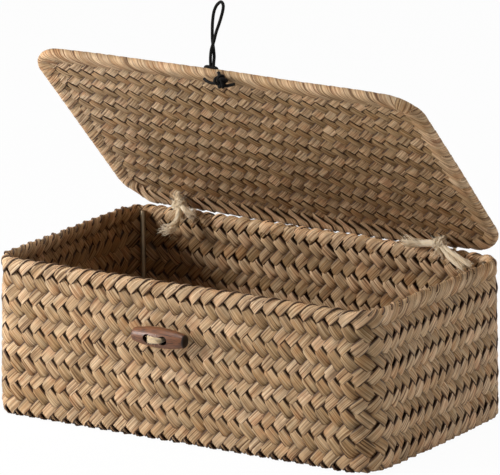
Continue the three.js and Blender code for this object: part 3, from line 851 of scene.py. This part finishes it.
class WOVENBOX_OT_lid(bpy.types.Operator):
    """Weave the lid, and fold its border over the lid wire"""

    bl_idname = "wovenbox.lid"
    bl_label = "Lid and border"

    def execute(self, context):
        weave = context.scene.woven_box.weave
        material = seagrass(context.scene.woven_box.colours)
        chance = random.Random(15)
        pitch = BASKET.round / weave.strands_round
        centre = LID_BACK + LID_DEPTH / 2
        bm, *marks = new_bmesh()
        lay_panel(
            bm, marks, chance, weave, pitch,
            LID_LENGTH - 2 * PANEL_INSET, LID_DEPTH - 2 * PANEL_INSET, LID_CORNER - PANEL_INSET,
            weave.lid_row / MM - centre,
            lambda x, y, out: on_sagging_lid(x + LID_SHIFT, centre + y, LID_MIDDLE - out))
        add_piece(bm, "lid_weave", material, "lid", "seagrass", "lid_panel")

        border, *marks = new_bmesh()
        count = round(LID.round / pitch)
        width, half, _ = strand_sizes(weave)
        travel = 2 * (LID_BORDER - MIDDLE) + FOLD_TURN * math.pi
        half_turn = CORNER_TURN / 2
        turn_from = LID.stretches[0] + LID.stretches[1] / 2 - half_turn
        turn_to = sum(LID.stretches[:3]) + LID.stretches[3] / 2 - half_turn
        back_from, back_to = sum(LID.stretches[:4]), sum(LID.stretches[:5])
        for strand in range(count):
            start = strand * LID.round / count
            loose = smoothstep(back_from, back_from + half_turn, start)
            loose *= smoothstep(back_to, back_to - half_turn, start)

            # The right end's strands lean the other way, and those at its corners turn from one to the other
            turned = smoothstep(turn_from, turn_from + CORNER_TURN, start)
            turned *= smoothstep(turn_to + CORNER_TURN, turn_to, start)
            lean = 1 - 2 * turned
            slant = math.hypot(1, lean)

            def place(along, side, up):
                along -= travel * slant / 2
                return on_border(
                    start + (side - lean * along) / slant, travel / 2 + (along + lean * side) / slant, up)

            def section(along):
                went = min(along / slant, travel - along / slant)
                level = 0.5 + 1.1 * smoothstep(0, 3.5, went) + 1.2 * smoothstep(1.5, 8.5, went)
                lean_in = (0.18 + 0.3 * loose) * smoothstep(0, 4, went)
                return level, half, (1.66 - 0.2 * loose) / slant, -lean_in, 2 * smoothstep(0, 4, went) - 1

            lay_strand(
                border, marks, chance, PALE_SIDE, travel * slant, width, place, section,
                0.4 + 0.4 * loose, FOLDED_SECTION, FOLDED_STEP)
        add_piece(border, "lid_border_strands", material, "lid", "seagrass", "lid_border")
        return {"FINISHED"}


class WOVENBOX_OT_wires(bpy.types.Operator):
    """Make the frame's posts, base ring and lid ring, and lacquer the hidden rim wire"""

    bl_idname = "wovenbox.wires"
    bl_label = "Frame wires"

    def execute(self, context):
        material = lacquered_wire(context.scene.woven_box.colours)
        rim = frame["nodes"]["rim_wire"].data
        rim.materials.clear()
        rim.materials.append(material)
        reach = BOX_CORNER - FRAME_INSET
        x = BOX_LENGTH / 2 - BOX_CORNER + reach * math.sin(POST_TURN)
        y = BOX_DEPTH / 2 - BOX_CORNER + reach * math.cos(POST_TURN)
        for name, across, back in (
                ("front_left", -x, -y), ("front_right", x, -y), ("back_left", -x, y), ("back_right", x, y)):
            low, high = (corner.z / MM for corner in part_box(f"post_{name}"))
            high -= POST_SUNK
            bm, *marks = new_bmesh()
            # The cut ends are a little rounded
            route = [Vector((across, back, z)) for z in (low, low + 0.4, (low + high) / 2, high - 0.4, high)]
            lay_tube(bm, marks, route, lambda share: WIRE / 2 - (0.4 if share in (0, 1) else 0), 0, 20)
            add_piece(bm, f"wire_post_{name}", material, "basket", "frame_wire", f"post_{name}")
        over_top = LID_BORDER - MIDDLE + FOLD_TURN * math.pi
        shares = [step % RING_STEPS / RING_STEPS for step in range(RING_STEPS + 1)]
        base = [Vector((*BASKET.at(BASKET.round * share, FRAME_INSET), FRAME_Z)) for share in shares]
        lid = [on_border(LID.round * share, over_top, 0) / MM for share in shares]
        for name, route, body, node in (
                ("wire_base_ring", base, "basket", "base_wire"), ("wire_lid_ring", lid, "lid", "lid_wire")):
            bm, *marks = new_bmesh()
            lay_tube(bm, marks, route, lambda share: WIRE / 2, 0, 14)
            add_piece(bm, name, material, body, "frame_wire", node)
        return {"FINISHED"}


class WOVENBOX_OT_ties(bpy.types.Operator):
    """Tie the lid on with two rings of jute twine"""

    bl_idname = "wovenbox.ties"
    bl_label = "Hinge ties"

    def execute(self, context):
        colours = context.scene.woven_box.colours
        material = jute_twine("bleached_jute_twine", colours.jute_dark, colours.jute)
        chance = random.Random(23)

        def on_hinge(point):
            return on_lid(point[0], -point[1], point[2]) / MM

        for side, (x, tails) in TIES.items():
            bm, *marks = new_bmesh()
            knot = Vector((x, *TIE_KNOT))
            turns = [2 * math.pi * step / 40 for step in range(41)]
            ring = [
                on_hinge((x, -TIE_RADIUS * math.cos(turn), -TIE_RADIUS * math.sin(turn))) for turn in turns]
            lay_twine(bm, marks, chance, ring, TIE_TWINE, 40)

            def on_knot(spot):
                return on_hinge(knot + spot)

            def on_wrap(turn, along, lean):
                turn += lean
                return on_knot(Vector((
                    3 * along * lean + 0.8 * math.sin(turn), 2.2 * math.cos(turn), 2.6 * math.sin(turn))))

            # Two crossed wraps draw the knot tight, and its loose fibres stand off
            lay_wraps(bm, marks, chance, WRAP_TWINE, 26, on_wrap)
            lay_tangle(bm, marks, chance, on_knot, TIE_KNOT_SIZE, 130)
            for thickness, fray, *points in tails:
                route = smooth_route([on_knot(Vector(point)) for point in ((0, 0, 0), *points)], 18)
                lay_twine(bm, marks, chance, route, thickness, 60, fray)
                lay_fuzz(bm, marks, chance, route[-3], (4, 4, 4), round(24 * fray), 3.5)
            lay_fuzz(bm, marks, chance, on_knot(Vector()), (8, 5.6, 6.4), 110, 4)
            add_piece(bm, f"jute_tie_{side}", material, "lid", "jute_twine", f"hinge_tie_{side}")
        return {"FINISHED"}


def turn_profile(bm, profile, centre, axis, across, steps):
    """Turns a profile of distances along and from an axis."""
    verts = [bm.verts.new((centre + axis * along + across * radius) * MM) for along, radius in profile]
    edges = [bm.edges.new(pair) for pair in zip(verts, verts[1:])]
    bmesh.ops.spin(
        bm, geom=verts + edges, cent=centre * MM, axis=axis, angle=2 * math.pi, steps=steps, use_merge=True)


class WOVENBOX_OT_toggle(bpy.types.Operator):
    """Turn the wooden toggle, drill it and sew it on"""

    bl_idname = "wovenbox.toggle"
    bl_label = "Toggle and stitch"

    def execute(self, context):
        colours = context.scene.woven_box.colours
        bm = bmesh.new()
        half = TOGGLE_LENGTH / 2
        profile = [(-half, 0), (-half, TOGGLE_END / 2 - 0.9), (-half + 0.25, TOGGLE_END / 2 - 0.3)]
        for step in range(25):
            along = (half - 0.7) * (step / 12 - 1)
            profile.append((along, (TOGGLE_MIDDLE - (TOGGLE_MIDDLE - TOGGLE_END) * (along / half) ** 2) / 2))
        profile += [(-along, radius) for along, radius in reversed(profile[:3])]
        turn_profile(bm, profile, TOGGLE, Vector((1, 0, 0)), Vector((0, 0, 1)), 56)
        material = toggle_wood(colours)
        barrel = add_piece(bm, "turned_toggle", material, "toggle", "toggle_wood", "toggle_button")

        # Two holes through the barrel, their mouths eased by wear
        cutter = bmesh.new()
        for side in (-1, 1):
            centre = TOGGLE + Vector((side * TOGGLE_HOLES_APART / 2, 0, 0))
            shape = [(-9, 0), (-9, 3.6), (-6.2, 3.0), (-5.6, TOGGLE_HOLE / 2)]
            shape += [(-y, radius) for y, radius in reversed(shape)]
            turn_profile(cutter, shape, centre, Vector((0, 1, 0)), Vector((1, 0, 0)), 40)
        bmesh.ops.remove_doubles(cutter, verts=cutter.verts, dist=1e-6)
        bmesh.ops.recalc_face_normals(cutter, faces=cutter.faces)
        mesh = bpy.data.meshes.new("toggle_drill")
        cutter.to_mesh(mesh)
        cutter.free()
        # The bores' walls take the near-black wood: painted shade inside the holes
        mesh.materials.append(bored_wood(colours))
        drill = bpy.data.objects.new("toggle_drill", mesh)
        context.scene.collection.objects.link(drill)
        drilling = barrel.modifiers.new("holes", "BOOLEAN")
        drilling.object = drill
        drilling.operation = "DIFFERENCE"
        drilling.solver = "EXACT"
        drilling.material_mode = "TRANSFER"
        drilled = bpy.data.meshes.new_from_object(barrel.evaluated_get(context.evaluated_depsgraph_get()))
        barrel.modifiers.clear()
        barrel.data = drilled
        drilled.set_sharp_from_angle(angle=math.radians(40))
        bpy.data.objects.remove(drill)

        chance = random.Random(31)
        bm, *marks = new_bmesh()
        front, back, wall = -TOGGLE_MIDDLE / 2 - 0.8, TOGGLE_MIDDLE / 2 + 1.4, TOGGLE_MIDDLE / 2 + 7.2
        apart = TOGGLE_HOLES_APART / 2
        # Three turns come out side by side on the left and go in close together on the right
        inner = apart - 1.2
        for turn in (-1, 0, 1):
            wide, narrow = 1.35 * turn, 0.6 * turn
            route = [
                (0, wall + 1, narrow), (0, wall - 3, narrow), (-apart * 0.6, back, narrow),
                (-inner, back - 2.2, narrow), (-inner, 0, narrow), (-inner, front + 1.8, wide),
                (-inner * 0.66, front + 0.2, wide), (0, front - 0.2, wide * 0.9),
                (inner * 0.6, front + 0.1, (wide + narrow) / 2),
                (inner, front + 1.8, narrow), (inner, 0, narrow), (inner, back - 2.2, narrow),
                (apart * 0.6, back, narrow), (0, wall - 3, narrow), (0, wall + 1, narrow)]
            route = smooth_route([TOGGLE + Vector(point) for point in route], 70)
            lay_twine(bm, marks, chance, route, STITCH_TWINE, 26)
        knot = TOGGLE + Vector((0, wall + 1.6, 0))
        lay_wraps(bm, marks, chance, STITCH_TWINE, 24, lambda turn, along, lean: knot + Vector((
            2.6 * math.cos(turn), 1.2 * lean * along, 2.6 * math.sin(turn) * lean)))
        lay_fuzz(bm, marks, chance, TOGGLE + Vector((0, front, 0)), (9, 1, 4), 30, 2)
        material = jute_twine("waxed_jute_twine", colours.stitch_dark, colours.stitch)
        add_piece(bm, "toggle_stitches", material, "toggle", "jute_twine", "toggle_stitch")
        return {"FINISHED"}


def on_lid_edge(x, angle, distance):
    """A place round the roll of the lid's front edge, in millimetres. The angle goes up from straight
    ahead."""
    reach = LID_BACK + LID_DEPTH - MIDDLE + distance * math.cos(angle)
    return on_lid(x, reach, LID_MIDDLE + distance * math.sin(angle)) / MM


class WOVENBOX_OT_loop(bpy.types.Operator):
    """Bend the elastic cord into its loop, collar and knot"""

    bl_idname = "wovenbox.loop"
    bl_label = "Elastic loop"

    def execute(self, context):
        material = elastic_cover(context.scene.woven_box.colours)
        route = smooth_route([LOOP_PIVOT + Vector(point) for point in LOOP_ROUTE], 120)

        def lay_cord(points, sides=12, thickness=CORD):
            lay_tube(bm, marks, points, lambda share: thickness / 2, 0, sides, braided=True)

        bm, *marks = new_bmesh()
        lay_cord(route, 14)
        loop = add_piece(bm, "elastic_cord_loop", material, "loop", "elastic_cord", "elastic_loop")
        length = sum((ahead - here).length for here, ahead in zip(route, route[1:]))

        bm, *marks = new_bmesh()
        ends = COLLAR_LENGTH / 2
        bow = [
            (-ends, 0.6, -2.2), (-ends + 0.5, 0.2, -1.3), (-2, 0, -0.9), (2, 0, -0.9),
            (ends - 0.5, 0.2, -1.3), (ends, 0.6, -2.2)]
        lay_cord(smooth_route([LOOP_PIVOT + Vector(point) for point in bow], 30), 14, COLLAR)
        add_piece(bm, "elastic_collar", material, "lid", "elastic_cord", "loop_collar")

        # Two trefoil turns hold the ends together; the way out from the lid's edge is the knot's thin way
        bm, *marks = new_bmesh()
        middle = MIDDLE + LOOP_KNOT_OUT

        def knot_place(along, out, round_):
            return on_lid_edge(LOOP_KNOT_X + along, LOOP_KNOT_ANGLE + round_ / middle, middle + out)

        for size, turned in ((1, 0), (0.8, 1.1)):
            turns = []
            for step in range(97):
                turn = 2 * math.pi * step / 96
                along = 1.35 * (math.sin(turn) + 2 * math.sin(2 * turn)) * size
                round_ = 0.9 * (math.cos(turn) - 2 * math.cos(2 * turn)) * size
                turns.append(knot_place(
                    along * math.cos(turned) - round_ * math.sin(turned) + 1.6,
                    1.9 - 1.5 * math.sin(3 * turn),
                    along * math.sin(turned) + round_ * math.cos(turned) - 0.4))
            lay_cord(turns)
        for along, out, round_ in LOOP_TAILS:
            tail = [
                (1.6, 1.5, -0.8), (along * 0.4, 2, round_), (along * 0.75, 1, round_), (along, out, round_)]
            lay_cord(smooth_route([knot_place(*point) for point in tail], 24))
        lead = [on_lid_edge(LOOP_KNOT_X - 3.4, math.radians(-5), MIDDLE - 0.8),
                on_lid_edge(LOOP_KNOT_X - 2.2, math.radians(-18), MIDDLE + 0.6),
                on_lid_edge(LOOP_KNOT_X - 1, math.radians(-38), MIDDLE + 1.5), knot_place(0, 0, 0)]
        lay_cord(smooth_route(lead, 20))
        add_piece(bm, "elastic_knot", material, "lid", "elastic_cord", "loop_knot")
        return {"FINISHED"}


class WOVENBOX_OT_stage(bpy.types.Operator):
    """Set the camera, the pale floor and the soft studio light"""

    bl_idname = "wovenbox.stage"
    bl_label = "Stage"

    def execute(self, context):
        scene = context.scene
        scene.view_settings.view_transform = "Standard"
        lens = bpy.data.cameras.new("camera")
        lens.sensor_width = 36
        lens.lens = LENS
        lens.clip_end = 20
        camera = bpy.data.objects.new("camera", lens)
        camera.matrix_world = Matrix((
            (*CAMERA_RIGHT, 0), (*CAMERA_UP, 0), (*CAMERA_BACK, 0), (*CAMERA_PLACE, 1))).transposed()
        scene.collection.objects.link(camera)
        scene.camera = camera

        bm = bmesh.new()
        bmesh.ops.create_circle(bm, cap_ends=True, segments=96, radius=FLOOR_RADIUS)
        mesh = bpy.data.meshes.new("floor")
        bm.to_mesh(mesh)
        bm.free()
        floor = bpy.data.objects.new("floor", mesh)
        scene.collection.objects.link(floor)
        # White paper: the camera sees it near white, and it keeps the box's soft shadow
        material, tree = new_material("white_paper_sweep")
        paper = add_node(tree, "ShaderNodeBsdfPrincipled", inputs={"Base Color": PAPER, "Roughness": 0.9})
        glow = add_node(tree, "ShaderNodeEmission", inputs={"Color": WHITE, "Strength": 1})
        rays = add_node(tree, "ShaderNodeLightPath").outputs
        seen = add_node(tree, "ShaderNodeMath", {"operation": "MAXIMUM"}, {
            0: rays["Is Camera Ray"], 1: rays["Is Glossy Ray"]})
        share = add_node(tree, "ShaderNodeMath", {"operation": "MULTIPLY"}, {0: seen, 1: PAPER_GLOW})
        surface = add_node(tree, "ShaderNodeMixShader", inputs={0: share, 1: paper, 2: glow})
        add_node(tree, "ShaderNodeOutputMaterial", inputs={"Surface": surface})
        mesh.materials.append(material)

        world = bpy.data.worlds.new("white_room")
        scene.world = world
        world.use_nodes = True
        tree = world.node_tree
        tree.nodes.clear()
        rays = add_node(tree, "ShaderNodeLightPath").outputs
        seen = rays["Is Camera Ray"]
        for kind in ("Is Glossy Ray", "Is Transmission Ray"):
            seen = add_node(tree, "ShaderNodeMath", {"operation": "MAXIMUM"}, {0: seen, 1: rays[kind]})
        room, white = (
            add_node(tree, "ShaderNodeBackground", inputs={"Color": WHITE, "Strength": strength})
            for strength in (ROOM_LIGHT, 1))
        surface = add_node(tree, "ShaderNodeMixShader", inputs={0: seen, 1: room, 2: white})
        add_node(tree, "ShaderNodeOutputWorld", inputs={"Surface": surface})

        for name, place, size, power in LAMPS:
            lamp = bpy.data.lights.new(name, "AREA")
            lamp.shape = "DISK"
            lamp.size = size
            lamp.energy = power
            light = bpy.data.objects.new(name, lamp)
            light.location = place
            light.rotation_mode = "QUATERNION"
            light.rotation_quaternion = (LAMPS_AIM - Vector(place)).to_track_quat("-Z", "Y")
            scene.collection.objects.link(light)
        return {"FINISHED"}


MAKERS = (
    WOVENBOX_OT_stage, WOVENBOX_OT_loop, WOVENBOX_OT_walls, WOVENBOX_OT_base, WOVENBOX_OT_lid,
    WOVENBOX_OT_wires, WOVENBOX_OT_ties, WOVENBOX_OT_toggle)


class WOVENBOX_PT_panel(bpy.types.Panel):
    """Lists the box's settings and makers"""

    bl_idname = "WOVENBOX_PT_panel"
    bl_label = "Woven lidded box"
    bl_space_type = "VIEW_3D"
    bl_region_type = "UI"
    bl_category = "Woven Box"

    def draw(self, context):
        settings = context.scene.woven_box
        for group in (settings.weave, settings.colours):
            column = self.layout.column(align=True)
            for name in group.__annotations__:
                column.prop(group, name)
        for maker in MAKERS:
            self.layout.operator(maker.bl_idname)


CLASSES = (WeaveSettings, ColourSettings, WovenBoxSettings, *MAKERS, WOVENBOX_PT_panel)


def register():
    for cls in CLASSES:
        bpy.utils.register_class(cls)
    bpy.types.Scene.woven_box = bpy.props.PointerProperty(type=WovenBoxSettings)


def unregister():
    del bpy.types.Scene.woven_box
    for cls in reversed(CLASSES):
        bpy.utils.unregister_class(cls)


def main():
    register()
    bpy.ops.wovenbox.stage()
    bpy.ops.wovenbox.loop()
    bpy.ops.wovenbox.walls()
    bpy.ops.wovenbox.base()
    bpy.ops.wovenbox.lid()
    bpy.ops.wovenbox.wires()
    bpy.ops.wovenbox.ties()
    bpy.ops.wovenbox.toggle()


if __name__ == "__main__":
    main()
